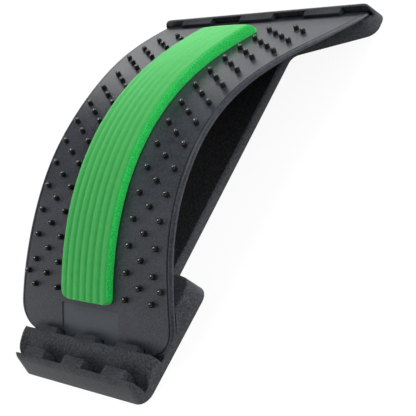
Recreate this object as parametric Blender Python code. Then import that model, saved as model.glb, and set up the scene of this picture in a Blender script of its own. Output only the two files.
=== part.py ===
import bpy
import bmesh
import math
from mathutils import Vector

# Arched back stretcher: a waisted base with toothed slots in its two feet, and a
# springy arched plate that seats in them, with nubs and a ribbed foam pad on top.
# Metres, +Z up, +Y from the narrow end to the wide end, origin on the floor.

# Clearance between touching pieces
FIT = 0.0003

# Base, overall
BASE_LENGTH = 0.375
FOOT_HEIGHT = 0.0200
END_LEAN = 0.0062
SIDE_LEAN = 0.0020
EDGE_ROUND = 0.0020
SHELL = 0.0024

# Waist bar between the feet
WAIST_NEAR_WIDTH = 0.0864
WAIST_FAR_WIDTH = 0.0896
WAIST_HEIGHT = 0.0080
WAIST_ROUND = 0.0026
WAIST_FILLET = 0.0090
WAIST_FILLET_REACH = 0.0075
WAIST_FILLET_SINK = 0.000002

# Narrow foot with one slot for each arch height
NEAR_END_WIDTH = 0.1500
NEAR_INNER_WIDTH = 0.1585
NEAR_LENGTH = 0.0995
NEAR_SLANT = 0.0072
NEAR_CORNER = 0.0115
NEAR_END_ROUND = 0.0048
NEAR_FLARE = 0.0030
NEAR_SHOULDER = 0.0023
NEAR_ROUND = 0.0080
SLOT_COUNT = 3
SLOT_PITCH = 0.0202
SEAT_SLOT = 1
SLOT_FLOOR = 0.0045
RAMP_ANGLE = math.radians(38.5)
CREST = 0.0012
TOOTH_WIDTH = 0.0235
TOOTH_GAP = 0.0240
TOOTH_DEPTH = 0.0058
TOOTH_DRAFT = 0.0003
TOOTH_LEDGE = 0.0008
LIP_INSET = 0.0095
LIP_TOOTH_DEPTH = 0.0076
CHANNEL_WIDTH = 0.1430
CHANNEL_MOUTH_WIDTH = 0.1600
LIP_MOUTH_SET_BACK = 0.0030
LIP_MOUTH_DEPTH = 0.0055
LIP_MOUTH_HEIGHT = 0.0113
SLOT_MOUTH_HEIGHT = 0.0092

# Wide foot with its single seat
FAR_END_WIDTH = 0.2455
FAR_INNER_WIDTH = 0.2470
FAR_LENGTH = 0.0240
FAR_SLANT = 0.0200
FAR_CORNER = 0.0105
FAR_INSET = 0.0095
FAR_POCKET_HALF = 0.1215
FAR_POCKET_CORNER = 0.0045
FAR_TOOTH_WIDTH = 0.0377
FAR_TOOTH_GAP = 0.0360
FAR_TOOTH_DEPTH = 0.0058
FAR_FALL_START = 0.1142
FAR_FALL_WIDTH = 0.0065
FAR_FALL_HEIGHT = 0.0110
TOOTH_COUNT = 3

# Arched plate
PLATE_THICKNESS = 0.0032
NEAR_REACH = 0.1535
FAR_REACH = 0.2015
ARCH_RADIUS = 0.1853
ARCH_FADE = 0.1670
FAR_END_DROP = 0.0032
PLATE_WAIST_WIDTH = 0.1636
PLATE_NEAR_WIDTH = 0.1830
PLATE_FAR_WIDTH = 0.2380
PLATE_NEAR_EASE = 1.5
PLATE_FAR_EASE = 1.2
PLATE_NEAR_CORNER = 0.0230
PLATE_FAR_CORNER = 0.0052
NEAR_TAB = 0.0033
FAR_TAB = 0.0064
TAB_PLAY = 0.0014
RIM_WIDTH = 0.0040
RIM_DROP = 0.0005
RIM_ROUND = 0.0013
RIM_GROOVE = 0.0008
RIM_FADE = 0.0350

# Blank recess at the plate's near end
PANEL_WIDTH = 0.0672
PANEL_SHIFT = -0.0025
PANEL_LENGTH = 0.0245
PANEL_DEPTH = 0.0008

# Massage nubs, in staggered columns on each side of the pad
NUB_DIAMETER = 0.0048
NUB_HEIGHT = 0.0048
NUB_FIRST_COLUMN = 0.0407
NUB_COLUMN_PITCH = 0.01448
NUB_FIRST_ROW = 0.0354
NUB_ROW_PITCH = 0.0204
NUB_END_MARGIN = 0.0300
NUB_FULL_COLUMNS = 3
NUB_OUTER_FAR_ROWS = 3
NUB_OUTER_NEAR_MARGIN = 0.0103

# Ribbed foam pad
PAD_WIDTH = 0.0550
PAD_SHIFT = -0.0022
PAD_THICKNESS = 0.0080
PAD_FAR_THICKNESS = 0.0108
PAD_CROWN = 0.0008
PAD_START = 0.0295
PAD_END_MARGIN = 0.0243
PAD_LEFT_CORNER = 0.0100
PAD_RIGHT_CORNER = 0.0045
PAD_FAR_CORNER = 0.0105
PAD_END_SLOPE = 0.0145
PAD_END_LIP = 0.0012
PAD_RIBS = 7
RIB_DEPTH = 0.0009
PAD_EDGE = 0.0016

NEAR_END_Y = -BASE_LENGTH / 2
FAR_END_Y = BASE_LENGTH / 2
LIP_INNER_Y = NEAR_END_Y + LIP_INSET
FAR_INNER_Y = FAR_END_Y - FAR_INSET
FAR_FACE_Y = FAR_INNER_Y - FAR_TOOTH_DEPTH
ABOVE = FOOT_HEIGHT * 2
BELOW = -0.001
PLAIN_SIDE = (-SIDE_LEAN, SIDE_LEAN + EDGE_ROUND, EDGE_ROUND)
FLARED_SIDE = (NEAR_FLARE, NEAR_SHOULDER, NEAR_ROUND)


def new_material(name, color, roughness, metallic=0.0):
    material = bpy.data.materials.new(name)
    material.use_nodes = True
    shader = material.node_tree.nodes["Principled BSDF"]
    shader.inputs["Base Color"].default_value = (*color, 1.0)
    shader.inputs["Roughness"].default_value = roughness
    shader.inputs["Metallic"].default_value = metallic
    material.diffuse_color = (*color, 1.0)
    return material


def new_object(name, bm, collection, material=None):
    bmesh.ops.recalc_face_normals(bm, faces=bm.faces)
    mesh = bpy.data.meshes.new(name)
    bm.to_mesh(mesh)
    bm.free()
    obj = bpy.data.objects.new(name, mesh)
    collection.objects.link(obj)
    if material:
        mesh.materials.append(material)
    return obj


def loft(bm, rings):
    """Skin closed rings of equal length and cap both ends."""
    loops = [[bm.verts.new(point) for point in ring] for ring in rings]
    count = len(loops[0])
    for lower, upper in zip(loops, loops[1:]):
        for index in range(count):
            after = (index + 1) % count
            bm.faces.new((lower[index], lower[after], upper[after], upper[index]))
    bm.faces.new(loops[0])
    bm.faces.new(loops[-1])


def extrude_across(bm, profile, x_from, x_to):
    """Extrude a closed (y, z) outline along X."""
    face = bm.faces.new([bm.verts.new((x_from, y, z)) for y, z in profile])
    pushed = bmesh.ops.extrude_face_region(bm, geom=[face])["geom"]
    verts = [item for item in pushed if isinstance(item, bmesh.types.BMVert)]
    bmesh.ops.translate(bm, vec=(x_to - x_from, 0, 0), verts=verts)


def extrude_along(bm, profile, y_from, y_to):
    """Extrude a closed (x, z) outline along Y."""
    face = bm.faces.new([bm.verts.new((x, y_from, z)) for x, z in profile])
    pushed = bmesh.ops.extrude_face_region(bm, geom=[face])["geom"]
    verts = [item for item in pushed if isinstance(item, bmesh.types.BMVert)]
    bmesh.ops.translate(bm, vec=(0, y_to - y_from, 0), verts=verts)


def boolean(target, tool, operation="DIFFERENCE"):
    modifier = target.modifiers.new(tool.name, "BOOLEAN")
    modifier.operation = operation
    modifier.solver = "EXACT"
    modifier.object = tool
    tool.hide_render = True
    tool.display_type = "WIRE"


def rounded_corners(corners, steps=6):
    """Replace each (x, y, radius) corner of a closed outline by an arc."""
    points = []
    for index, (x, y, radius) in enumerate(corners):
        here = Vector((x, y))
        if radius == 0:
            points.append(here)
            continue
        before = (Vector(corners[index - 1][:2]) - here).normalized()
        after = (Vector(corners[(index + 1) % len(corners)][:2]) - here).normalized()
        half_angle = before.angle(after) / 2
        centre = here + (before + after).normalized() * radius / math.sin(half_angle)
        start = here + before * radius / math.tan(half_angle) - centre
        end = here + after * radius / math.tan(half_angle) - centre
        sweep = math.atan2(start.x * end.y - start.y * end.x, start.dot(end))
        for step in range(steps + 1):
            angle = sweep * step / steps
            turned_x = start.x * math.cos(angle) - start.y * math.sin(angle)
            turned_y = start.x * math.sin(angle) + start.y * math.cos(angle)
            points.append(centre + Vector((turned_x, turned_y)))
    return points


def lean_at(z, height, lean, rounding):
    """How far the wall has come in at a height, round the top edge too."""
    share = max(0.0, (z - height + rounding) / rounding)
    return lean * z / height + rounding * (1 - math.sqrt(max(0.0, 1 - share ** 2)))


def foot_levels():
    """Heights for the rings of both feet, closer together in the rounded edges."""
    low = FOOT_HEIGHT - NEAR_ROUND
    middle = FOOT_HEIGHT - NEAR_END_ROUND
    high = FOOT_HEIGHT - EDGE_ROUND
    levels = [0.0, low / 2, low, middle, (middle + high) / 2, high]
    return levels + [high + EDGE_ROUND * share for share in (0.5, 0.87, 1.0)]


def side_at(z, flare, shoulder, rounding):
    """How far a foot's side has come in at a height, after flaring out to a knee."""
    knee = FOOT_HEIGHT - rounding
    if z <= knee:
        return -flare * z / knee
    share = min((z - knee) / rounding, 1.0)
    return -flare + (flare + shoulder) * (1 - math.sqrt(1 - share ** 2))


def foot_ring(z, end_y, inward, end_width, end_side, end_round, inner_width, neck_width, length, slant, corner):
    """Plan outline of a foot at one height, from its end towards the waist."""
    side = side_at(z, *PLAIN_SIDE)
    end = side_at(z, *end_side)
    outer = end_width / 2 - end
    inner = inner_width / 2 - side
    neck = neck_width / 2 - side
    tip = end_y + inward * lean_at(z, FOOT_HEIGHT, END_LEAN, end_round)
    back = end_y + inward * (length - side)
    outline = rounded_corners([
        (outer, tip, corner - end),
        (inner, back, corner - side),
        (neck, back + inward * slant, 0),
        (-neck, back + inward * slant, 0),
        (-inner, back, corner - side),
        (-outer, tip, corner - end),
    ])
    return [(point.x, point.y, z) for point in outline]


def make_foot(name, collection, *sizes):
    bm = bmesh.new()
    loft(bm, [foot_ring(z, *sizes) for z in foot_levels()])
    return new_object(name, bm, collection)


def make_waist(collection):
    """Low bar that joins the feet, rounded on top and filleted into the wide foot."""
    near_y = NEAR_END_Y + NEAR_LENGTH - NEAR_SLANT
    far_y = FAR_END_Y - FAR_LENGTH - FAR_SLANT
    flare = WAIST_FILLET_REACH
    flare_y = far_y + flare * FAR_SLANT / ((FAR_INNER_WIDTH - WAIST_FAR_WIDTH) / 2)
    straight = WAIST_HEIGHT - WAIST_ROUND
    rings = []
    for z in [0.0, straight] + [straight + WAIST_ROUND * share for share in (0.38, 0.71, 0.92, 1.0)]:
        side = lean_at(z, WAIST_HEIGHT, SIDE_LEAN / 4, WAIST_ROUND)
        near = WAIST_NEAR_WIDTH / 2 - side
        far = WAIST_FAR_WIDTH / 2 - side
        right = [(near, near_y, 0), (far, far_y, WAIST_FILLET)]
        right.append((far + flare, flare_y + side + WAIST_FILLET_SINK, 0))
        right.append((far + flare, flare_y + FAR_LENGTH / 2, 0))
        outline = rounded_corners(right + [(-x, y, radius) for x, y, radius in reversed(right)])
        rings.append([(point.x, point.y, z) for point in outline])
    bm = bmesh.new()
    loft(bm, rings)
    return new_object("waist_bar", bm, collection)


def slot_face(slot):
    """Y of the inner face of a slot's teeth, counted from the narrow end."""
    return LIP_INNER_Y + LIP_TOOTH_DEPTH + slot * SLOT_PITCH


def ramp_top(slot):
    """Y where a slot's ramp reaches the full height."""
    return slot_face(slot + 1) - TOOTH_DEPTH


def ramp_height(slot, y):
    return FOOT_HEIGHT - (ramp_top(slot) - y) * math.tan(RAMP_ANGLE)


def slot_back(slot):
    """Y of the upright wall behind a slot's teeth."""
    return LIP_INNER_Y if slot == 0 else slot_face(slot) - TOOTH_DEPTH + CREST


def gap_spans(width, gap, outer):
    """X spans beside and between the teeth, the middle tooth on the centre line."""
    pitch = width + gap
    first = -(TOOTH_COUNT - 1) / 2 * pitch
    edges = [-outer]
    for index in range(TOOTH_COUNT):
        edges += [first + index * pitch - width / 2, first + index * pitch + width / 2]
    edges.append(outer)
    return list(zip(edges[0::2], edges[1::2]))


def seat_cutter(open_y, face_y, floor_at, cutters):
    """Clears the wide foot down to its sloped seat, and the pockets between its teeth."""
    wide = FAR_INNER_WIDTH
    spans = gap_spans(FAR_TOOTH_WIDTH, FAR_TOOTH_GAP, FAR_POCKET_HALF)
    plan = [(-wide, open_y, 0), (wide, open_y, 0), (wide, face_y, 0)]
    for x_from, x_to in reversed(spans):
        right_corner = FAR_POCKET_CORNER if x_to == FAR_POCKET_HALF else 0
        left_corner = FAR_POCKET_CORNER if x_from == -FAR_POCKET_HALF else 0
        plan += [(x_to, face_y, 0), (x_to, FAR_INNER_Y, right_corner)]
        plan += [(x_from, FAR_INNER_Y, left_corner), (x_from, face_y, 0)]
    plan.append((-wide, face_y, 0))
    outline = rounded_corners(plan)
    bm = bmesh.new()
    low = [(point.x, point.y, floor_at(point.y)) for point in outline]
    loft(bm, [low, [(point.x, point.y, ABOVE) for point in outline]])
    return new_object("far_seat_cutter", bm, cutters)


def slot_profile(start, foot_y, foot_z, top_y):
    """Open (y, z) section of a slot: upright wall, level foot, then the ramp."""
    over = CREST / 2
    over_z = FOOT_HEIGHT + over * (FOOT_HEIGHT - foot_z) / (top_y - foot_y)
    return [(start, ABOVE), (start, foot_z), (foot_y, foot_z), (top_y + over, over_z), (top_y + over, ABOVE)]


def slot_cutter(slot, cutters):
    """Lofts a slot across the foot: teeth, the gaps between them and open mouths."""
    top = ramp_top(slot)
    back = slot_back(slot)
    face = slot_face(slot)
    ledge = face + TOOTH_LEDGE
    rise = math.tan(RAMP_ANGLE)
    gap_foot = max(back + TOOTH_LEDGE, top - (FOOT_HEIGHT - SLOT_FLOOR) / rise)
    at_tooth = slot_profile(face, ledge, ramp_height(slot, ledge), top)
    at_gap = slot_profile(back, gap_foot, ramp_height(slot, gap_foot), top)
    if slot == 0:
        mouth_back = back - LIP_MOUTH_SET_BACK
        at_mouth = slot_profile(mouth_back, mouth_back + LIP_MOUTH_DEPTH, LIP_MOUTH_HEIGHT, top)
    else:
        at_mouth = slot_profile(back, top - (FOOT_HEIGHT - SLOT_MOUTH_HEIGHT) / rise, SLOT_MOUTH_HEIGHT, top)
    sections = []
    for x_from, x_to in gap_spans(TOOTH_WIDTH, TOOTH_GAP, CHANNEL_WIDTH / 2):
        sections += [(x_from - TOOTH_DRAFT, at_tooth), (x_from, at_gap)]
        sections += [(x_to, at_gap), (x_to + TOOTH_DRAFT, at_tooth)]
    sections[0] = (-CHANNEL_MOUTH_WIDTH / 2, at_mouth)
    sections[-1] = (CHANNEL_MOUTH_WIDTH / 2, at_mouth)
    bm = bmesh.new()
    loft(bm, [[(x, y, z) for y, z in section] for x, section in sections])
    return new_object(f"slot_cutter_{slot}", bm, cutters)


def edge_fall_cutter(name, start, width, low, y_from, y_to, cutters):
    """Rounds a wall's top down to a lower height at both sides."""
    bm = bmesh.new()
    curve = []
    for step in range(7):
        angle = math.pi / 2 * step / 6
        x = start + width * math.sin(angle)
        curve.append((x, low + (FOOT_HEIGHT - low) * math.cos(angle)))
    reach = start + width * 3
    profile = [(start, ABOVE)] + curve + [(reach, low), (reach, ABOVE)]
    extrude_along(bm, profile, y_from, y_to)
    extrude_along(bm, [(-x, z) for x, z in profile], y_from, y_to)
    return new_object(name, bm, cutters)


def underside_cutter(cutters):
    """Hollows under the ramps, open to the floor."""
    bm = bmesh.new()
    half = NEAR_END_WIDTH / 2 - SIDE_LEAN - EDGE_ROUND - SHELL
    thin = SHELL / math.cos(RAMP_ANGLE)
    for slot in range(SLOT_COUNT):
        high_y = slot_back(slot + 1) - SHELL
        high_z = ramp_height(slot, high_y) - thin
        low_y = high_y - (high_z - BELOW) / math.tan(RAMP_ANGLE)
        extrude_across(bm, [(low_y, BELOW), (high_y, BELOW), (high_y, high_z)], -half, half)
    return new_object("underside_cutter", bm, cutters)


def make_base(arch, collection, cutters, material):
    near_sizes = (NEAR_END_Y, 1, NEAR_END_WIDTH, FLARED_SIDE, NEAR_END_ROUND, NEAR_INNER_WIDTH,
                  WAIST_NEAR_WIDTH, NEAR_LENGTH, NEAR_SLANT, NEAR_CORNER)
    far_sizes = (FAR_END_Y, -1, FAR_END_WIDTH, PLAIN_SIDE, EDGE_ROUND, FAR_INNER_WIDTH,
                 WAIST_FAR_WIDTH, FAR_LENGTH, FAR_SLANT, FAR_CORNER)
    base = make_foot("base", collection, *near_sizes)
    base.data.materials.append(material)
    boolean(base, make_waist(cutters), "UNION")
    boolean(base, make_foot("far_foot", cutters, *far_sizes), "UNION")

    # Narrow foot
    for slot in range(SLOT_COUNT):
        boolean(base, slot_cutter(slot, cutters))
    boolean(base, underside_cutter(cutters))

    # Wide foot: a seat parallel to the plate's underside, then the pockets behind it
    seat, slope = arch.far_seat()
    front_y = FAR_END_Y - FAR_LENGTH - FAR_SLANT - FAR_CORNER
    boolean(base, seat_cutter(front_y, seat.x, lambda y: seat.y + (seat.x - y) * slope, cutters))
    far_fall = (FAR_FALL_START, FAR_FALL_WIDTH, FAR_FALL_HEIGHT, seat.x - FIT, FAR_END_Y + FIT)
    boolean(base, edge_fall_cutter("far_fall_cutter", *far_fall, cutters))
    return base


class Arch:
    """The plate's top line, fitted to its two seats and read by distance."""

    STEPS = 160

    def __init__(self):
        length = NEAR_REACH + FAR_REACH
        spacing = length / self.STEPS
        point = Vector((0.0, 0.0))
        free = [point]
        for index in range(self.STEPS):
            heading = self.heading(spacing * (index + 0.5) - NEAR_REACH)
            point = point + Vector((math.cos(heading), math.sin(heading))) * spacing
            free.append(point)
        far_end = Vector((FAR_FACE_Y - FIT, FOOT_HEIGHT - FAR_END_DROP))
        turn = 0.0
        for _ in range(6):
            near_end = self.near_end(self.heading(-NEAR_REACH) + turn)
            wanted = far_end - near_end
            turn = math.atan2(wanted.y, wanted.x) - math.atan2(free[-1].y, free[-1].x)
        grow = wanted.length / free[-1].length
        self.points = []
        for point in free:
            x = (point.x * math.cos(turn) - point.y * math.sin(turn)) * grow
            y = (point.x * math.sin(turn) + point.y * math.cos(turn)) * grow
            self.points.append(near_end + Vector((x, y)))
        self.spacing = spacing * grow
        self.length = length * grow

    def heading(self, distance):
        """Slope angle at a distance from the waist; it bends most at the waist."""
        reach = min(abs(distance), ARCH_FADE)
        bend = (reach - reach ** 3 / (3 * ARCH_FADE ** 2)) / ARCH_RADIUS
        return -math.copysign(bend, distance)

    def near_end(self, slope):
        """Top edge behind the seat's teeth, with the tabs between them just off the ramp."""
        top_y = slot_face(SEAT_SLOT) + FIT
        low_y = top_y + PLATE_THICKNESS * math.sin(slope) - NEAR_TAB * math.cos(slope)
        low_z = ramp_height(SEAT_SLOT, low_y) + FIT / math.cos(RAMP_ANGLE)
        rise = NEAR_TAB * math.sin(slope) + PLATE_THICKNESS * math.cos(slope)
        return Vector((top_y, low_z + rise))

    def frame(self, distance):
        index = min(max(int(distance / self.spacing), 0), self.STEPS - 1)
        share = distance / self.spacing - index
        point = self.points[index] + (self.points[index + 1] - self.points[index]) * share
        low = self.points[max(index - 1, 0)]
        high = self.points[min(index + 2, self.STEPS)]
        tangent = (high - low).normalized()
        return point, tangent, Vector((-tangent.y, tangent.x))

    def place(self, distance, x, height):
        """World point at x across and height above the plate's top."""
        point, _, normal = self.frame(distance)
        spot = point + normal * height
        return Vector((x, spot.x, spot.y))

    def far_seat(self):
        """Foot of the wide seat, just under the plate, and the seat's slope."""
        point, tangent, normal = self.frame(self.length)
        under = point - normal * (PLATE_THICKNESS + FIT)
        slope = -tangent.y / tangent.x
        return Vector((FAR_FACE_Y, under.y - (FAR_FACE_Y - under.x) * slope)), slope


def plate_half_width(distance, length):
    """Waisted outline of the plate, with rounded corners at both ends."""
    from_waist = distance - NEAR_REACH
    if from_waist < 0:
        share = min(-from_waist / NEAR_REACH, 1.0) ** PLATE_NEAR_EASE
        wide = PLATE_NEAR_WIDTH
    else:
        share = min(from_waist / (length - NEAR_REACH), 1.0) ** PLATE_FAR_EASE
        wide = PLATE_FAR_WIDTH
    half = (PLATE_WAIST_WIDTH + (wide - PLATE_WAIST_WIDTH) * math.sin(math.pi / 2 * share) ** 2) / 2
    near_gap = distance + NEAR_TAB
    far_gap = length + FAR_TAB - distance
    for to_end, corner in ((near_gap, PLATE_NEAR_CORNER), (far_gap, PLATE_FAR_CORNER)):
        if to_end < corner:
            half -= corner * (1 - math.sqrt(max(0.0, 1 - (1 - to_end / corner) ** 2)))
    return half


def plate_section(half, rim_drop):
    """Half section of the plate: top, groove, flat-topped rim and underside."""
    side = PLATE_THICKNESS + rim_drop
    groove = half - RIM_WIDTH
    return [
        (0.0, 0.0),
        (groove - RIM_GROOVE, 0.0),
        (groove, -RIM_GROOVE),
        (groove + RIM_GROOVE, -RIM_GROOVE * 0.15),
        (half - RIM_ROUND, -RIM_GROOVE * 0.30),
        (half - RIM_ROUND * 0.29, -RIM_GROOVE * 0.30 - RIM_ROUND * 0.29),
        (half, -RIM_GROOVE * 0.30 - RIM_ROUND),
        (half, -side + RIM_GROOVE / 2),
        (half - RIM_GROOVE / 2, -side),
        (groove + RIM_GROOVE, -side),
        (groove, -PLATE_THICKNESS),
        (0.0, -PLATE_THICKNESS),
    ]


def mirrored(section):
    return section + [(-x, height) for x, height in reversed(section[1:-1])]


def rim_drop_at(distance, length):
    """The rim hangs lower along the sides and fades out over the feet."""
    to_end = min(distance, length - distance)
    share = min(max(to_end / RIM_FADE - 1, 0.0), 1.0)
    return RIM_DROP * share * share * (3 - 2 * share)


def end_spaced(length, near_corner, far_corner, corner_steps, middle_steps):
    """Distances along a strip, closer together in its rounded corners."""
    quarter = math.pi / 2 / corner_steps
    places = [near_corner * (1 - math.cos(quarter * i)) for i in range(corner_steps + 1)]
    span = length - near_corner - far_corner
    places += [near_corner + span * i / middle_steps for i in range(1, middle_steps)]
    places += [length - far_corner * (1 - math.sin(quarter * i)) for i in range(corner_steps + 1)]
    return places


def nub_places(arch):
    """Staggered (distance, x) places of one side's nubs."""
    places = []
    rows = int((arch.length - NUB_FIRST_ROW - NUB_END_MARGIN) / NUB_ROW_PITCH) + 1
    for step in range(rows * 2 - 1):
        distance = NUB_FIRST_ROW + step * NUB_ROW_PITCH / 2
        columns = [column for column in range(NUB_FULL_COLUMNS) if column % 2 == step % 2]
        places += [(distance, NUB_FIRST_COLUMN + column * NUB_COLUMN_PITCH) for column in columns]
        outer = NUB_FIRST_COLUMN + NUB_FULL_COLUMNS * NUB_COLUMN_PITCH
        if step % 2 and step // 2 >= rows - 1 - NUB_OUTER_FAR_ROWS:
            places.append((distance, outer))
        elif step == 1:
            edge = plate_half_width(distance, arch.length)
            places.append((distance, min(outer, edge - NUB_OUTER_NEAR_MARGIN)))
    return places


def make_nubs(arch, cutters):
    """Domes square on the plate, sunk a little way into it."""
    bm = bmesh.new()
    for side in (-1, 1):
        for distance, x in nub_places(arch):
            _, tangent, normal = arch.frame(distance)
            origin = arch.place(distance, side * x, 0.0)
            along = Vector((0, tangent.x, tangent.y))
            up = Vector((0, normal.x, normal.y))
            dome = bmesh.ops.create_uvsphere(bm, u_segments=8, v_segments=6, radius=1.0)
            for vert in dome["verts"]:
                spread = Vector((1, 0, 0)) * vert.co.x + along * vert.co.y
                height = vert.co.z * (NUB_HEIGHT if vert.co.z > 0 else PLATE_THICKNESS / 2)
                vert.co = origin + spread * NUB_DIAMETER / 2 + up * height
    return new_object("nub_domes", bm, cutters)


def notch_cutter(name, arch, tooth_width, gap, start, end, cutters):
    """Clears the plate's end round the teeth, which leaves a tab in every gap."""
    bm = bmesh.new()
    pitch = tooth_width + gap
    half = tooth_width / 2 + TAB_PLAY
    high = PLATE_THICKNESS
    for index in range(TOOTH_COUNT):
        centre = (index - (TOOTH_COUNT - 1) / 2) * pitch
        outline = [(-half, high), (-half, -2 * high), (half, -2 * high), (half, high)]
        loft(bm, [[arch.place(distance, centre + x, height) for x, height in outline] for distance in (start, end)])
    return new_object(name, bm, cutters)


def make_plate(arch, collection, cutters, material):
    bm = bmesh.new()
    rings = []
    for step in end_spaced(NEAR_TAB + arch.length + FAR_TAB, PLATE_NEAR_CORNER, PLATE_FAR_CORNER, 6, 34):
        distance = step - NEAR_TAB
        half = plate_half_width(distance, arch.length)
        section = plate_section(half, rim_drop_at(distance, arch.length))
        rings.append([arch.place(distance, x, height) for x, height in mirrored(section)])
    loft(bm, rings)
    plate = new_object("arch_plate", bm, collection, material)
    boolean(plate, make_nubs(arch, cutters), "UNION")

    # Blank recess
    bm = bmesh.new()
    half = PANEL_WIDTH / 2
    outline = [(half, PLATE_THICKNESS), (-half, PLATE_THICKNESS), (-half, -PANEL_DEPTH), (half, -PANEL_DEPTH)]
    rings = []
    for distance in (-2 * NEAR_TAB, PANEL_LENGTH * 0.3, PANEL_LENGTH * 0.65, PANEL_LENGTH):
        rings.append([arch.place(distance, x + PANEL_SHIFT, height) for x, height in outline])
    loft(bm, rings)
    boolean(plate, new_object("panel_cutter", bm, cutters))

    # Notches for the teeth of both feet
    near = ("near_notch_cutter", arch, TOOTH_WIDTH, TOOTH_GAP, -2 * NEAR_TAB, 0.0, cutters)
    far = ("far_notch_cutter", arch, FAR_TOOTH_WIDTH, FAR_TOOTH_GAP, arch.length, arch.length + 2 * FAR_TAB, cutters)
    boolean(plate, notch_cutter(*near))
    boolean(plate, notch_cutter(*far))
    return plate


def corner_cut(along, length, corner):
    """How far a rounded corner has drawn a strip's side in."""
    to_end = min(along, length - along, corner)
    return corner - math.sqrt(max(0.0, corner ** 2 - (corner - to_end) ** 2))


def make_pad(arch, collection, material):
    """Crowned foam strip with lengthwise ribs that fade out, and a rounded-off far end."""
    bm = bmesh.new()
    length = arch.length - PAD_START - PAD_END_MARGIN
    columns = PAD_RIBS * 4
    rings = []
    for along in end_spaced(length, PAD_LEFT_CORNER, PAD_END_SLOPE, 4, 22):
        share = along / length
        left = -PAD_WIDTH / 2 + corner_cut(along, length, PAD_LEFT_CORNER)
        right_corner = PAD_RIGHT_CORNER if share < 0.5 else PAD_FAR_CORNER
        right = PAD_WIDTH / 2 - corner_cut(along, length, right_corner)
        thickness = PAD_THICKNESS + (PAD_FAR_THICKNESS - PAD_THICKNESS) * share ** 2
        rise = min((length - along) / PAD_END_SLOPE, 1.0)
        top = PAD_END_LIP + (thickness - PAD_END_LIP) * rise
        edge = min(PAD_EDGE, top / 2)
        section = [(right, FIT), (right, top - edge)]
        for column in range(columns + 1):
            x = right - edge - (right - left - 2 * edge) * column / columns
            across = x / (PAD_WIDTH / 2)
            furrow = 0.5 + 0.5 * math.cos(math.pi * 2 * PAD_RIBS * (x / PAD_WIDTH + 0.5))
            crown = PAD_CROWN * (1 - across ** 2) * rise
            section.append((x, top + crown - RIB_DEPTH * furrow * (1 - share) * rise))
        section += [(left, top - edge), (left, FIT)]
        rings.append([arch.place(PAD_START + along, x + PAD_SHIFT, height) for x, height in section])
    loft(bm, rings)
    return new_object("spine_pad", bm, collection, material)


def main():
    for obj in list(bpy.data.objects):
        bpy.data.objects.remove(obj)
    parts = bpy.data.collections.new("back_stretcher")
    cutters = bpy.data.collections.new("cutters")
    for collection in (parts, cutters):
        bpy.context.scene.collection.children.link(collection)

    base_plastic = new_material("base_plastic", (0.020, 0.020, 0.022), 0.38)
    plate_plastic = new_material("plate_plastic", (0.045, 0.045, 0.050), 0.55)
    foam = new_material("green_foam", (0.10, 0.52, 0.14), 0.90)

    arch = Arch()
    make_base(arch, parts, cutters, base_plastic)
    make_plate(arch, parts, cutters, plate_plastic)
    make_pad(arch, parts, foam)


main()
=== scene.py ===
import math
import bmesh
import bpy
from mathutils import Matrix, Vector, noise


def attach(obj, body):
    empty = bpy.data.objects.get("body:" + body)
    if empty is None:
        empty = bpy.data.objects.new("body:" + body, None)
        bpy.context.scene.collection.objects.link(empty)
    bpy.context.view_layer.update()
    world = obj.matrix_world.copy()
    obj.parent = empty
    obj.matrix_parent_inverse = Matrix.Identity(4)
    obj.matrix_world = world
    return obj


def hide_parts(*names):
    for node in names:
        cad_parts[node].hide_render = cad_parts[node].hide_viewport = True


# Back stretcher: the plate, its nubs and the foam strip are modelled flat and
# then wrapped on the arch line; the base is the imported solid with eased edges.
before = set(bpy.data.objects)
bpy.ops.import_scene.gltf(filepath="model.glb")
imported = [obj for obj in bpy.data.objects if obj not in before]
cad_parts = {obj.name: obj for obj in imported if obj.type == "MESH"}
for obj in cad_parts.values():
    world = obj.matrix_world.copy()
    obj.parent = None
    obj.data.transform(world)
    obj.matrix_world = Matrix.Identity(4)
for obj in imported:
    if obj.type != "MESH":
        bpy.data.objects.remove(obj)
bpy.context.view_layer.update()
print("frame:", sorted(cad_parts))


def linear(red, green, blue):
    # a colour picked on screen, 0 to 255, as the shader wants it
    parts = []
    for value in (red, green, blue):
        share = value / 255
        parts.append(share / 12.92 if share <= 0.04045 else ((share + 0.055) / 1.055) ** 2.4)
    return (*parts, 1.0)


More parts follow.
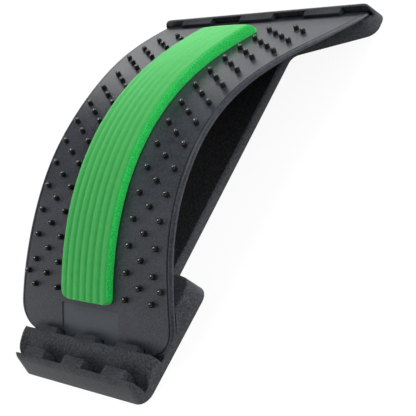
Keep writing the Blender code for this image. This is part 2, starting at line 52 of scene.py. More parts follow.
class Wire:
    # a shader socket that can be used in plain arithmetic
    def __init__(self, tree, socket=None):
        self.tree = tree
        self.socket = socket

    def add(self, kind, settings=None, inputs=None, output=0):
        # any node: its settings come first, then a value or a link for each socket
        node = self.tree.nodes.new("ShaderNode" + kind)
        for name, value in (settings or {}).items():
            setattr(node, name, value)
        for name, value in (inputs or {}).items():
            if isinstance(value, Wire):
                self.tree.links.new(value.socket, node.inputs[name])
            else:
                node.inputs[name].default_value = value
        return Wire(self.tree, node.outputs[output]) if node.outputs else None

    def maths(self, operation, first, second=0.0):
        return self.add("Math", {"operation": operation}, {0: first, 1: second})

    def __add__(self, other):
        return self.maths("ADD", self, other)

    __radd__ = __add__

    def __sub__(self, other):
        return self.maths("SUBTRACT", self, other)

    def __rsub__(self, other):
        return self.maths("SUBTRACT", other, self)

    def __mul__(self, other):
        return self.maths("MULTIPLY", self, other)

    __rmul__ = __mul__

    def __abs__(self):
        return self.maths("ABSOLUTE", self)

    def wave(self):
        return self.maths("COSINE", self)

    def either(self, other):
        # the stronger of two masks
        return self.maths("MAXIMUM", self, other)

    def between(self, low, high):
        # 0 below low, 1 above high, smooth in between
        return self.add("MapRange", {"interpolation_type": "SMOOTHSTEP"},
                        {"Value": self, "From Min": low, "From Max": high})

    def tint(self, low, high):
        # low where the wire is 0, high where it is 1, each a wire or a screen colour
        low, high = (shade if isinstance(shade, Wire) else linear(*shade) for shade in (low, high))
        return self.add("Mix", {"data_type": "RGBA"}, {0: self, 6: low, 7: high}, output=2)

    def axis(self, index):
        # one number of a vector: 0 across the object, 1 along it, 2 up
        return self.add("SeparateXYZ", inputs={"Vector": self}, output=index)

    def cloud(self, scale, detail, roughness=0.5):
        return self.add("TexNoise", inputs={"Vector": self, "Scale": scale, "Detail": detail,
                                            "Roughness": roughness})

    def cells(self, scale):
        return self.add("TexVoronoi", {"feature": "F1"}, {"Vector": self, "Scale": scale})

    def bump(self, depth):
        return self.add("Bump", inputs={"Height": self, "Distance": depth, "Strength": 1.0})


def newMaterial(name):
    material = bpy.data.materials.new(name)
    material.use_nodes = True
    material.node_tree.nodes.clear()
    return material, Wire(material.node_tree)


def principled(kit, color, roughness, normal, gloss, more=None):
    sockets = {"Base Color": color, "Roughness": roughness, "Normal": normal,
               "Specular IOR Level": gloss}
    return kit.add("BsdfPrincipled", inputs={**sockets, **(more or {})})


def finishMaterial(kit, surface):
    kit.add("OutputMaterial", inputs={"Surface": surface})


moulded = {
    "fine": (3.0, 0.65),  # detail and roughness of the grain
    "haze": (28.0, 4.0, 0.55),  # scale, detail, roughness
    "hazeShare": 0.25,
    "toneRange": (0.40, 0.60),
    "openRange": (0.05, 0.75),
    "hazeSpread": 0.16,  # how far the haze moves the roughness
    "grainSpread": 0.24,
    "pitScale": 0.8,  # times the grain
    "pitShare": 0.5,
    "grainShare": 0.7,
}


def moulding(kit, look):
    # dark moulding with a fine even grain, a faint haze and painted shade in the crevices
    spot = kit.add("TexCoord", output=3)
    fine = spot.cloud(look["grain"], *moulded["fine"])
    haze = spot.cloud(*moulded["haze"])
    pits = spot.cells(look["grain"] * moulded["pitScale"])
    tone = haze * moulded["hazeShare"] + fine * (1 - moulded["hazeShare"])
    color = tone.between(*moulded["toneRange"]).tint(look["color"], look["sheen"])
    # painted shade: ambient occlusion darkens the colour in crevices and hollows
    openness = kit.add("AmbientOcclusion", {"samples": 8}, {"Distance": look["shadeReach"]}, output=1)
    color = openness.between(*moulded["openRange"]).tint(look["creviceShadeColor"], color)
    uneven = (haze - 0.5) * moulded["hazeSpread"] + (fine - 0.5) * moulded["grainSpread"]
    grain = fine * moulded["grainShare"] + pits * moulded["pitShare"]
    return spot, color, look["roughness"] + uneven, grain


# (y, z) of the plate's top at its two ends, and how it bends between them
archLine = {
    "nearEnd": (-0.1499, 0.013331),
    "farEnd": (0.1719, 0.0168),
    "waistAt": 0.1535,
    "length": 0.3550,
    "radius": 0.1853,
    "fade": 0.1670,  # from the waist to where the plate runs straight
    "steps": 240,
}


def archHeading(distance):
    fromWaist = distance - archLine["waistAt"]
    reach = min(abs(fromWaist), archLine["fade"])
    bend = (reach - reach ** 3 / (3 * archLine["fade"] ** 2)) / archLine["radius"]
    return -math.copysign(bend, fromWaist)


def drawArch():
    # drawn from the headings, then turned and scaled to end where it should
    spacing = archLine["length"] / archLine["steps"]
    point = Vector((0, 0))
    loose = [point]
    for index in range(archLine["steps"]):
        heading = archHeading(spacing * (index + 0.5))
        point = point + Vector((math.cos(heading), math.sin(heading))) * spacing
        loose.append(point)
    start = Vector(archLine["nearEnd"])
    wanted = Vector(archLine["farEnd"]) - start
    turn = Matrix.Rotation(math.atan2(wanted.y, wanted.x) - math.atan2(point.y, point.x), 2)
    grow = wanted.length / point.length
    return [start + turn @ spot * grow for spot in loose], spacing * grow


archPoints, archSpacing = drawArch()
archLength = archSpacing * archLine["steps"]


def archFrame(distance):
    # the point at this distance, the way the arch runs there, and its up
    index = min(max(int(distance / archSpacing), 0), archLine["steps"] - 1)
    step = archPoints[index + 1] - archPoints[index]
    point = archPoints[index] + step * (distance / archSpacing - index)
    before = archPoints[max(index - 1, 0)]
    after = archPoints[min(index + 2, archLine["steps"])]
    along = (after - before).normalized()
    return point, along, Vector((-along.y, along.x))


def onArch(x, distance, height):
    # where a point of a flat piece lands once the piece is wrapped
    point, _, up = archFrame(distance)
    spot = point + up * height
    return Vector((x, spot.x, spot.y))


print("arch line:", round(archLength * 1000, 1), "mm along the top")


def addObject(name, data):
    thing = bpy.data.objects.new(name, data)
    bpy.context.scene.collection.objects.link(thing)
    return thing


def meshFrom(name, bm):
    mesh = bpy.data.meshes.new(name)
    bm.to_mesh(mesh)
    bm.free()
    return mesh


def smooth(mesh, sharpAngle):
    mesh.shade_smooth()
    mesh.set_sharp_from_angle(angle=math.radians(sharpAngle))


def newPiece(name, bm, material, body, sharpAngle):
    bmesh.ops.recalc_face_normals(bm, faces=bm.faces)
    mesh = meshFrom(name, bm)
    smooth(mesh, sharpAngle)
    piece = addObject(name, mesh)
    mesh.materials.append(material)
    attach(piece, body)
    return piece


def joinRings(bm, rings):
    # closed rings of equal length, each joined to the next
    loops = [[bm.verts.new(point) for point in ring] for ring in rings]
    count = len(loops[0])
    for lower, upper in zip(loops, loops[1:]):
        for index in range(count):
            after = (index + 1) % count
            bm.faces.new((lower[index], lower[after], upper[after], upper[index]))
    return loops


def skin(bm, rings):
    # joined rings with a cap at both ends
    loops = joinRings(bm, rings)
    bm.faces.new(loops[0])
    bm.faces.new(loops[-1])


def quarterArc(steps):
    return [math.pi / 2 * step / steps for step in range(steps + 1)]


def spread(low, high, count):
    return [low + (high - low) * index / count for index in range(count + 1)]


plate = {
    "thickness": 0.0032,
    "waistWidth": 0.1636,
    "nearWidth": 0.1830,
    "farWidth": 0.2380,
    "nearEase": 1.5,  # how late the plate widens on its way to this end
    "farEase": 1.2,
    "nearCorner": 0.0230,
    "farCorner": 0.0052,
    "nearTab": 0.0033,
    "farTab": 0.0064,
    "nearTeeth": (0.0235, 0.0240),  # width and gap
    "farTeeth": (0.0377, 0.0360),
    "tabPlay": 0.0014,
    "rimWidth": 0.0040,
    "rimDrop": 0.0005,  # how far the rim hangs below the underside
    "rimFade": 0.0350,  # it starts this far from an end, and is full at twice that
    "grooveWidth": 0.0007,
    "grooveDepth": 0.0013,
    # shares of the groove's width and depth, and where the bead starts
    "grooveShape": ((-1.0, 0.0), (-0.75, 0.12), (-0.35, 0.75), (0.0, 1.0), (0.4, 0.9), (0.8, 0.35)),
    "beadStart": (1.2, 0.12),
    "beadDrop": 0.0019,
    "lowerEdge": ((0.0, 0.0006), (0.00015, 0.0003), (0.0005, 0.0)),  # in from the side, up
    "flatHalf": 0.0560,
    "stations": 150,
    "cornerSteps": (16, 10),  # near end, far end
    "beadSteps": 10,
    "columns": (16, 5, 12),  # across the middle, each shoulder and the underside
    "sharpAngle": 40,
    "recessLeft": -0.0361,
    "recessRight": 0.0311,
    "recessLength": 0.0245,
    "recessDepth": 0.0008,
    "recessWall": 0.0001,
    "recessBlend": (0.0003, 0.0005),  # across and along
    "color": (25, 28, 34),
    "sheen": (47, 51, 59),
    # painted shade in crevices: its colour, and how far the occlusion looks
    "creviceShadeColor": (10, 10, 12),
    "shadeReach": 0.0014,
    "roughness": 0.45,
    "gloss": 0.36,
    "grain": 750.0,
    "grainDepth": 0.00016,
    "recessColor": (60, 66, 74),
    "recessPaler": 0.5,
    "recessSmoother": 0.7,
    # painted shade: a blacker, duller copy of the plastic for the faces that look down
    "undersideShadeColor": (11, 11, 12),
    "undersideShadeHaze": (17, 17, 19),
    "undersideCloud": (60.0, 4.0),  # scale and detail
    "undersideGrain": (900.0, 2.0),
    "undersideRange": (0.3, 0.7),
    "undersideRoughness": 0.62,
    "undersideGloss": 0.1,
    "undersideDepth": 0.00008,
    "undersideTilt": -0.25,  # faces that look down more than this get the painted shade
}


def plateHalf(distance):
    # half of the plate's width: wide, waisted, wide, with round corners
    fromWaist = distance - archLine["waistAt"]
    reach, wide, ease = archLine["waistAt"], plate["nearWidth"], plate["nearEase"]
    if fromWaist > 0:
        reach, wide, ease = archLength - archLine["waistAt"], plate["farWidth"], plate["farEase"]
    share = math.sin(math.pi / 2 * min(abs(fromWaist) / reach, 1.0) ** ease) ** 2
    half = (plate["waistWidth"] + (wide - plate["waistWidth"]) * share) / 2
    nearGap, farGap = distance + plate["nearTab"], archLength + plate["farTab"] - distance
    for toEnd, corner in ((nearGap, plate["nearCorner"]), (farGap, plate["farCorner"])):
        if toEnd < corner:
            half -= corner * (1 - math.sqrt(max(0.0, 1 - (1 - toEnd / corner) ** 2)))
    return half


def plateStations():
    # close together in the corners, and two of them at the recess's inner wall
    start, end = -plate["nearTab"], archLength + plate["farTab"]
    near, far, recess = plate["nearCorner"], plate["farCorner"], plate["recessLength"]
    nearSteps, farSteps = plate["cornerSteps"]
    places = [start + near * (1 - math.cos(angle)) for angle in quarterArc(nearSteps)]
    places += spread(start + near, end - far, plate["stations"])[1:-1]
    places += [end - far * (1 - math.cos(angle)) for angle in quarterArc(farSteps)]
    places = [place for place in places if abs(place - recess) > 4 * plate["recessWall"]]
    return sorted(places + [recess - plate["recessWall"], recess])


def rimProfile(half, drop):
    # (x, height) from the groove, over the round bead, to the underside
    inner = half - plate["rimWidth"]
    wide, deep = plate["grooveWidth"], plate["grooveDepth"]
    points = [(inner + wide * across, -deep * down) for across, down in plate["grooveShape"]]
    bead = inner + wide * plate["beadStart"][0]
    top = -deep * plate["beadStart"][1]
    for angle in quarterArc(plate["beadSteps"]):
        fall = plate["beadDrop"] * (1 - math.cos(angle))
        points.append((bead + (half - bead) * math.sin(angle), top - fall))
    bottom = -plate["thickness"] - drop
    points += [(half - inset, bottom + lift) for inset, lift in plate["lowerEdge"]]
    return points + [(inner + wide, bottom), (inner, -plate["thickness"])]


def cutNotches(piece):
    # room for the teeth of both feet, which leaves a tab in every gap
    bm = bmesh.new()
    high, play = plate["thickness"], plate["tabPlay"]
    ends = [(plate["nearTeeth"], -2 * plate["nearTab"], 0.0)]
    ends.append((plate["farTeeth"], archLength, archLength + 2 * plate["farTab"]))
    for (width, gap), start, end in ends:
        half = width / 2 + play
        outline = [(-half, high), (-half, -2 * high), (half, -2 * high), (half, high)]
        for index in (-1, 0, 1):
            centre = index * (width + gap)
            skin(bm, [[onArch(centre + x, place, height) for x, height in outline]
                      for place in (start, end)])
    bmesh.ops.recalc_face_normals(bm, faces=bm.faces)
    cutter = addObject("notch_cutter", meshFrom("notch_cutter", bm))
    cut = piece.modifiers.new("notches", "BOOLEAN")
    cut.operation = "DIFFERENCE"
    cut.solver = "EXACT"
    cut.object = cutter
    evaluated = piece.evaluated_get(bpy.context.evaluated_depsgraph_get())
    solid = bpy.data.meshes.new_from_object(evaluated)
    piece.modifiers.clear()
    piece.data = solid
    solid.name = piece.name
    bpy.data.objects.remove(cutter)
    smooth(solid, plate["sharpAngle"])


def makePlate(material, underside):
    left, right, wall = plate["recessLeft"], plate["recessRight"], plate["recessWall"]
    flatHalf, low = plate["flatHalf"], -plate["thickness"]
    middles, sides, unders = plate["columns"]
    flat = sorted(spread(-flatHalf, flatHalf, middles) + [left - wall, left, right, right + wall])
    rings = []
    for distance in plateStations():
        half = plateHalf(distance)
        toEnd = min(distance, archLength - distance)
        share = min(max(toEnd / plate["rimFade"] - 1, 0.0), 1.0)
        rim = rimProfile(half, plate["rimDrop"] * share * share * (3 - 2 * share))
        shoulder = spread(flatHalf, rim[0][0], sides)[1:-1]
        floor = -plate["recessDepth"] if distance < plate["recessLength"] else 0.0
        ring = [(-x, height) for x, height in reversed(rim)]
        ring += [(-x, 0.0) for x in reversed(shoulder)]
        ring += [(x, floor if left <= x <= right else 0.0) for x in flat]
        ring += [(x, 0.0) for x in shoulder]
        ring += rim
        under = half - plate["rimWidth"]
        ring += [(x, low) for x in spread(under, -under, unders)[1:-1]]
        rings.append([onArch(x, distance, height) for x, height in ring])
    bm = bmesh.new()
    skin(bm, rings)
    piece = newPiece("plate_shell", bm, material, "arch", plate["sharpAngle"])
    cutNotches(piece)
    # the faces that look down get the painted-shade material
    piece.data.materials.append(underside)
    for polygon in piece.data.polygons:
        polygon.material_index = int(polygon.normal.z < plate["undersideTilt"])
    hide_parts("arch_plate")


def platePlastic():
    # the recess has a smoother, paler floor
    material, kit = newMaterial("charcoal_plate")
    spot, color, roughness, grain = moulding(kit, plate)
    end = archFrame(plate["recessLength"])[0].x
    blendAcross, blendAlong = plate["recessBlend"]
    middle = (plate["recessLeft"] + plate["recessRight"]) / 2
    reach = (plate["recessRight"] - plate["recessLeft"]) / 2
    beside = abs(spot.axis(0) - middle).between(reach - blendAcross, reach)
    recess = (1 - beside) * (1 - spot.axis(1).between(end - blendAlong, end))
    color = (recess * plate["recessPaler"]).tint(color, plate["recessColor"])
    bump = (grain * (1 - recess * plate["recessSmoother"])).bump(plate["grainDepth"])
    finishMaterial(kit, principled(kit, color, roughness, bump, plate["gloss"]))
    return material


def shadedUnderside():
    # painted shade: the faces that look down get a blacker, duller copy of the plastic
    material, kit = newMaterial("shaded_underside")
    spot = kit.add("TexCoord", output=3)
    haze = spot.cloud(*plate["undersideCloud"])
    tone = haze.between(*plate["undersideRange"])
    color = tone.tint(plate["undersideShadeColor"], plate["undersideShadeHaze"])
    roughness = haze * 0.1 + plate["undersideRoughness"]
    bump = spot.cloud(*plate["undersideGrain"]).bump(plate["undersideDepth"])
    finishMaterial(kit, principled(kit, color, roughness, bump, plate["undersideGloss"]))
    return material


nubs = {
    "diameter": 0.0046,
    "height": 0.0053,
    "foot": ((1.10, -0.0003), (1.08, 0.00006), (1.02, 0.0002), (1.0, 0.0005)),  # radii out, height
    "domeSteps": 7,
    "around": 20,
    "sharpAngle": 70,
    "firstColumn": 0.0407,
    "columnPitch": 0.01448,
    "firstRow": 0.0354,
    "rowPitch": 0.0204,
    "rows": 15,
    "outerFarRows": 3,
    "nearOuterX": 0.0786,
    "color": (9, 9, 11),
    "haze": (17, 17, 20),
    "cloud": (420.0, 2.0),  # scale and detail
    "cloudDepth": 0.000006,
    "roughness": 0.28,
    "gloss": 0.5,
}


def nubPlaces():
    # staggered rows of two and one, with a further nub outside them near the ends
    places = []
    for step in range(nubs["rows"] * 2 - 1):
        distance = nubs["firstRow"] + step * nubs["rowPitch"] / 2
        columns = [column for column in range(3) if column % 2 == step % 2]
        if step % 2 and step // 2 >= nubs["rows"] - 1 - nubs["outerFarRows"]:
            columns.append(3)
        for column in columns:
            places.append((distance, nubs["firstColumn"] + column * nubs["columnPitch"]))
        if step == 1:
            places.append((distance, nubs["nearOuterX"]))
    return places


def makeNubs(material):
    # a foot fillet, a short upright side and a round top, square on the plate
    radius, tall = nubs["diameter"] / 2, nubs["height"]
    profile = [(radius * share, height) for share, height in nubs["foot"]]
    for angle in quarterArc(nubs["domeSteps"])[:-1]:
        profile.append((radius * math.cos(angle), tall - radius + radius * math.sin(angle)))
    turns = spread(0.0, math.tau, nubs["around"])[:-1]
    bm = bmesh.new()
    for side in (-1, 1):
        for distance, x in nubPlaces():
            point, along, up = archFrame(distance)
            origin = Vector((side * x, point.x, point.y))
            alongAxis = Vector((0, along.x, along.y))
            upAxis = Vector((0, up.x, up.y))
            circle = [Vector((math.cos(turn), 0, 0)) + alongAxis * math.sin(turn) for turn in turns]
            rings = [[origin + flat * reach + upAxis * height for flat in circle]
                     for reach, height in profile]
            loops = joinRings(bm, rings)
            bm.faces.new(loops[0])
            last = loops[-1]
            top = bm.verts.new(origin + upAxis * tall)
            for spot, after in zip(last, last[1:] + last[:1]):
                bm.faces.new((spot, after, top))
    piece = newPiece("massage_nubs", bm, material, "arch", nubs["sharpAngle"])
    return piece


def glossyNub():
    material, kit = newMaterial("nub_gloss")
    haze = kit.add("TexCoord", output=3).cloud(*nubs["cloud"])
    color = haze.tint(nubs["color"], nubs["haze"])
    roughness = haze * 0.05 + nubs["roughness"]
    bump = haze.bump(nubs["cloudDepth"])
    finishMaterial(kit, principled(kit, color, roughness, bump, nubs["gloss"]))
    return material


foam = {
    "left": -0.0297,
    "right": 0.0253,
    "start": 0.0295,
    "endMargin": 0.0243,
    "thickness": 0.0080,
    "farThickness": 0.0108,
    "crown": 0.0008,
    "gap": 0.0003,
    "thinnest": 0.0007,
    "sharpAngle": 50,
    "ribs": 7,
    "ribDepth": 0.0009,
    "ribsGoneAt": 0.72,  # share of the strip's length
    "ribFade": 0.45,
    "edgeRound": 0.0018,
    "endSlope": 0.0145,
    "endLip": 0.0012,
    "endSoft": 0.0012,
    "corners": {"nearLeft": 0.0100, "nearRight": 0.0045, "farLeft": 0.0100, "farRight": 0.0105},
    "wobble": (160, 60, 0.00012),  # how fine across and along, and how deep
    # rows and columns stand closer together near the ends and the sides
    "endRows": (0.0, 0.00015, 0.0004, 0.0008, 0.0013, 0.0019, 0.0027, 0.0036, 0.0048, 0.0062, 0.0080,
                0.0100, 0.0125),
    "rows": 96,
    "sideColumns": (0.0, 0.00012, 0.0004, 0.0008, 0.0012, 0.0018),
    "columns": 112,
    "sideSwell": (0.0, 0.00014, 0.0002, 0.00016, 0.00008),  # how far the sides bulge, row by row
    "topLow": (26, 116, 48),
    "topHigh": (62, 158, 79),
    # the cut sides' own speckled green, partly lifted as painted light where the lamps leave them dim
    "side": (32, 172, 73),
    "sideDark": (13, 126, 50),
    "roughness": 0.9,
    "gloss": 0.2,
    "sheen": {"Sheen Weight": 0.75, "Sheen Roughness": 0.4, "Sheen Tint": linear(160, 255, 170)},
    "ridgeShadeFade": (-0.06, 0.07),  # the painted light on the ridges and painted shade in the furrows end between these places
    "cutSide": (0.62, 0.90),  # how far a face turns aside, or to an end, to be a cut one
    "cutEnd": (0.72, 0.86),
    "cellScale": 950.0,
    "cellRange": (0.10, 0.65),
    "fine": (1600.0, 2.0, 0.7),  # scale, detail, roughness
    "fuzz": (240.0, 5.0, 0.65),
    "topMix": (0.55, 0.5, 0.22),  # shares of the painted ridge light and shade and of fuzz, and a lift
    "bumpMix": (0.4, 0.4, 0.9),  # shares of fine grain, fuzz and cells
    "bumpDepth": 0.00022,
}
foamLength = archLength - foam["start"] - foam["endMargin"]
ribPitch = (foam["right"] - foam["left"]) / foam["ribs"]


def foamCorner(x, along):
    end = "near" if along < foamLength / 2 else "far"
    return foam["corners"][end + ("Left" if x < 0 else "Right")]


def foamInset(x, along):
    # how far a spot of the flat strip lies inside its rounded outline
    corner = foamCorner(x, along)
    toSide = min(x - foam["left"], foam["right"] - x)
    toEnd = min(along, foamLength - along)
    if toSide < corner and toEnd < corner:
        return corner - math.hypot(corner - toSide, corner - toEnd)
    return toSide if along > foamLength / 2 else min(toSide, toEnd)


def foamCut(x, along):
    # how far the outline has come in from the straight side
    corner = foamCorner(x, along)
    toEnd = min(along, foamLength - along)
    if toEnd >= corner:
        return 0.0
    return corner - math.sqrt(max(0.0, corner ** 2 - (corner - toEnd) ** 2))


def foamHeight(x, along):
    middle = (foam["right"] + foam["left"]) / 2
    across = (x - middle) / (foam["right"] - middle)
    share = along / foamLength
    furrow = 0.5 + 0.5 * math.cos(math.tau * (x - foam["left"]) / ribPitch)
    height = foam["thickness"] + (foam["farThickness"] - foam["thickness"]) * share ** 2
    ribFade = min(max((foam["ribsGoneAt"] - share) / foam["ribFade"], 0.0), 1.0)
    height += foam["crown"] * (1 - across ** 2) - foam["ribDepth"] * furrow * ribFade
    inset = max(foamInset(x, along), 0.0)
    if inset < foam["edgeRound"]:
        gone = 1 - inset / foam["edgeRound"]
        height -= foam["edgeRound"] * (1 - math.sqrt(max(0.0, 1 - gone * gone)))
    # the far end is cut on a slant, with a soft upper edge
    slope = (foamLength - along) / foam["endSlope"] * (height - foam["endLip"]) + foam["endLip"]
    soft = foam["endSoft"]
    blend = min(max(0.5 + 0.5 * (slope - height) / soft, 0.0), 1.0)
    return slope + (height - slope) * blend - soft * blend * (1 - blend) / 2


def makeFoam(material):
    ends, margins, swell = foam["endRows"], foam["sideColumns"], foam["sideSwell"]
    fineAcross, fineAlong, deep = foam["wobble"]
    rows = [*ends, *spread(ends[-1], foamLength - ends[-1], foam["rows"])[1:-1]]
    rows += [foamLength - end for end in reversed(ends)]
    rings = []
    for distance in rows:
        low = foam["left"] + foamCut(-0.01, distance)
        high = foam["right"] - foamCut(0.01, distance)
        columns = [low + margin for margin in margins]
        columns += spread(low + margins[-1], high - margins[-1], foam["columns"])[1:-1]
        columns += [high - margin for margin in reversed(margins)]
        top = []
        for x in columns:
            wobble = noise.noise(Vector((x * fineAcross, distance * fineAlong, 0.0))) * deep
            top.append((x, max(foamHeight(x, distance) + wobble, foam["thinnest"])))
        climb = spread(foam["gap"], top[0][1], len(swell))[:-1]
        fall = spread(foam["gap"], top[-1][1], len(swell))[:-1]
        ring = [(low - bulge, height) for bulge, height in zip(swell, climb)]
        ring += top
        ring += [(high + bulge, height) for bulge, height in reversed(list(zip(swell, fall)))]
        rings.append([onArch(x, foam["start"] + distance, height) for x, height in ring])
    bm = bmesh.new()
    skin(bm, rings)
    piece = newPiece("ribbed_foam_strip", bm, material, "arch", foam["sharpAngle"])
    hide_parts("spine_pad")


def greenFoam():
    # painted light on the ridges and painted shade in the furrows, and cut sides full of tiny cells
    # whose green is partly lifted as painted light
    material, kit = newMaterial("ribbed_green_foam")
    spot = kit.add("TexCoord", output=3)
    fade = 1 - spot.axis(1).between(*foam["ridgeShadeFade"])
    # painted light and shade: lighter on the ridges, darker in the furrows, fading out along the
    # strip
    ridgeShade = 0.5 - ((spot.axis(0) - foam["left"]) * (math.tau / ribPitch)).wave() * fade * 0.5
    normal = kit.add("NewGeometry", output=1)
    cutSide = abs(normal.axis(0)).between(*foam["cutSide"])
    sides = cutSide.either(abs(normal.axis(1)).between(*foam["cutEnd"]))
    cells = spot.cells(foam["cellScale"])
    fine = spot.cloud(*foam["fine"])
    fuzz = spot.cloud(*foam["fuzz"])
    ridgeShadeShare, fuzzShare, lift = foam["topMix"]
    tone = ridgeShade * ridgeShadeShare + (fuzz - 0.5) * fuzzShare + lift
    top = tone.tint(foam["topLow"], foam["topHigh"])
    # cut sides: tiny cells, in a green partly lifted as painted light
    side = cells.between(*foam["cellRange"]).tint(foam["sideDark"], foam["side"])
    fineBump, fuzzBump, cellBump = foam["bumpMix"]
    height = fine * fineBump + fuzz * fuzzBump + cells * sides * cellBump
    color, bump = sides.tint(top, side), height.bump(foam["bumpDepth"])
    finishMaterial(kit, principled(kit, color, foam["roughness"], bump, foam["gloss"], foam["sheen"]))
    return material


baseLook = {
    "color": (31, 32, 36),
    "sheen": (56, 58, 63),
    # painted shade in crevices: its colour, and how far the occlusion looks
    "creviceShadeColor": (5, 5, 6),
    "shadeReach": 0.004,
    "roughness": 0.46,
    "gloss": 0.17,
    "grain": 700.0,
    "grainDepth": 0.00011,
    # painted shade on the waist bar's top, under the arch: a blacker, duller copy of the plastic
    "barShadeColor": (16, 16, 17),
    "barShadeSheen": (42, 43, 46),
    "barShadeRange": (0.3, 0.9),
    "barShadeRoughness": 0.8,
    "barShadeGloss": 0.08,
    # where the painted shade on the bar's top fades: facing up, and between these heights and places
    "barShadeFacing": (0.90, 0.98),
    "barShadeBelow": (0.0095, 0.0105),
    "barShadeFrom": (-0.098, -0.094),
    "barShadeTo": (0.135, 0.140),
    "edge": 0.0006,
    "edgeAngle": 38,
    "weld": 0.00002,
    "flatAngle": 1.0,
}


def basePlastic():
    # painted shade: the top of the waist bar, in the shade of the arch, gets a blacker, duller copy
    # of the plastic
    material, kit = newMaterial("black_base")
    spot, color, roughness, grain = moulding(kit, baseLook)
    facing = kit.add("NewGeometry", output=3).axis(2).between(*baseLook["barShadeFacing"])
    low = 1 - spot.axis(2).between(*baseLook["barShadeBelow"])
    along = spot.axis(1)
    middle = along.between(*baseLook["barShadeFrom"]) * (1 - along.between(*baseLook["barShadeTo"]))
    # the painted shade's mask: facing up, low, and between the feet
    barShadeMask = facing * low * middle
    bump = grain.bump(baseLook["grainDepth"])
    satin = principled(kit, color, roughness, bump, baseLook["gloss"])
    barShadeTone = grain.between(*baseLook["barShadeRange"])
    barShadeColor = barShadeTone.tint(baseLook["barShadeColor"], baseLook["barShadeSheen"])
    barShade = principled(kit, barShadeColor, baseLook["barShadeRoughness"], bump, baseLook["barShadeGloss"])
    finishMaterial(kit, kit.add("MixShader", inputs={0: barShadeMask, 1: satin, 2: barShade}))
    return material


def dressBase(material):
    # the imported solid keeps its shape; its sharp edges are eased
    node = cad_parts["base"]
    node.data.materials.clear()
    node.data.materials.append(material)
    weld = node.modifiers.new("weld", "WELD")
    weld.merge_threshold = baseLook["weld"]
    flatten = node.modifiers.new("flatten", "DECIMATE")
    flatten.decimate_type = "DISSOLVE"
    flatten.angle_limit = math.radians(baseLook["flatAngle"])
    ease = node.modifiers.new("ease", "BEVEL")
    ease.width = baseLook["edge"]
    ease.segments = 2
    ease.limit_method = "ANGLE"
    ease.angle_limit = math.radians(baseLook["edgeAngle"])
    ease.use_clamp_overlap = True
    ease.harden_normals = True
    for polygon in node.data.polygons:
        polygon.use_smooth = True


studio = {
    "floorSize": 6.0,
    "floorGlow": 0.92,
    "floorColor": (0.92, 0.92, 0.92, 1),
    "floorDrop": 0.0002,
    "worldLevel": 0.45,
    "horizonTop": 0.05,
    "ceilingStart": 0.34,
    "ceilingLevel": 0.04,
    # strength, softness in degrees, and where each lamp shines
    "overhead": (1.0, 12, (0.23, -0.24, -0.94)),
    "backLeft": (0.70, 34, (0.68, -0.72, -0.03)),
    "frontLeft": (0.95, 65, (0.66, 0.50, -0.56)),
    "backRight": (2.0, 40, (-0.22, -0.93, -0.29)),
    "right": (3.9, 90, (-0.94, -0.28, -0.18)),
    "glint": (5.0, 15, (-0.10, -0.22, -0.97)),  # for the nubs alone
}
photoCamera = {
    "lens": 89.49,
    "sensor": 36.0,
    "right": (0.72502, 0.42242, -0.54397),
    "up": (-0.0637, 0.82756, 0.55775),
    "back": (0.68577, -0.36973, 0.62691),
    "place": (0.61446, -0.32668, 0.52823),
}
white = (1, 1, 1, 1)


def rays(kit):
    # 1 where the ray comes from the camera, a reflection or a clear surface
    path = kit.add("LightPath").socket.node
    names = ("Is Camera Ray", "Is Glossy Ray", "Is Transmission Ray")
    return [Wire(kit.tree, path.outputs[name]) for name in names]


def makeFloor():
    bm = bmesh.new()
    bmesh.ops.create_grid(bm, x_segments=2, y_segments=2, size=studio["floorSize"] / 2)
    floor = addObject("floor", meshFrom("floor", bm))
    floor.location.z = -studio["floorDrop"]
    material, kit = newMaterial("studio_floor")
    camera, glossy, clear = rays(kit)
    seen = camera.either(glossy.either(clear))
    paper = kit.add("BsdfDiffuse", inputs={"Color": studio["floorColor"]})
    glow = kit.add("Emission", inputs={"Color": white, "Strength": 1.0})
    mixed = kit.add("MixShader", inputs={0: seen * studio["floorGlow"], 1: paper, 2: glow})
    finishMaterial(kit, mixed)
    floor.data.materials.append(material)


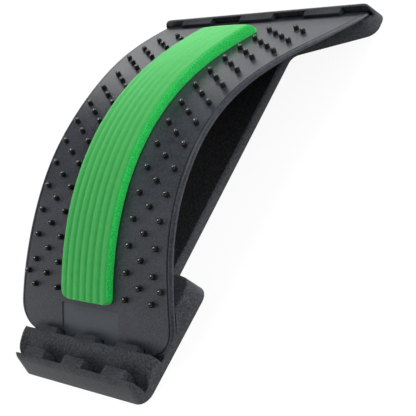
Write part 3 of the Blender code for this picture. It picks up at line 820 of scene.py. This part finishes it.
def makeWorld():
    # white to the camera; reflections see a white horizon and a dimmer ceiling
    world = bpy.data.worlds.new("studio")
    bpy.context.scene.world = world
    world.use_nodes = True
    world.node_tree.nodes.clear()
    kit = Wire(world.node_tree)
    camera, glossy, clear = rays(kit)
    ceiling = kit.add("TexCoord").axis(2).between(studio["horizonTop"], studio["ceilingStart"])
    mirrored = 1 - ceiling * (1 - studio["ceilingLevel"])
    seen = camera.either(clear)
    level = seen + (1 - seen) * (glossy * mirrored + (1 - glossy) * studio["worldLevel"])
    background = kit.add("Background", inputs={"Color": white, "Strength": level})
    kit.add("OutputWorld", inputs={"Surface": background})


def makeSun(name, strength, softness, toward):
    data = bpy.data.lights.new(name, "SUN")
    data.energy = strength
    data.angle = math.radians(softness)
    lamp = addObject(name, data)
    lamp.rotation_mode = "QUATERNION"
    lamp.rotation_quaternion = Vector(toward).to_track_quat("-Z", "Y")
    return lamp


def makeGlint(nubPiece):
    # a small bright lamp that only the glossy nubs mirror
    lamp = makeSun("nub_glint", *studio["glint"])
    lamp.visible_diffuse = False
    group = bpy.data.collections.new("glint_on")
    group.objects.link(nubPiece)
    lamp.light_linking.receiver_collection = group


def makeCamera():
    data = bpy.data.cameras.new("photo_camera")
    data.lens = photoCamera["lens"]
    data.sensor_width = photoCamera["sensor"]
    camera = addObject("photo_camera", data)
    axes = [Vector(photoCamera[name]) for name in ("right", "up", "back")]
    stand = Matrix(axes).transposed().to_4x4()
    stand.translation = Vector(photoCamera["place"])
    camera.matrix_world = stand
    bpy.context.scene.camera = camera


makePlate(platePlastic(), shadedUnderside())
print("plate: wrapped")
nubPiece = makeNubs(glossyNub())
print("nubs:", 2 * len(nubPlaces()))
makeFoam(greenFoam())
print("foam strip: wrapped")
dressBase(basePlastic())
print("base: edges eased")
makeFloor()
makeWorld()
for place in ("overhead", "backLeft", "frontLeft", "backRight"):
    makeSun(place + "_soft", *studio[place])
makeSun("right_fill", *studio["right"]).visible_glossy = False
makeGlint(nubPiece)
makeCamera()
bpy.context.scene.view_settings.view_transform = "Standard"
print("studio: set")
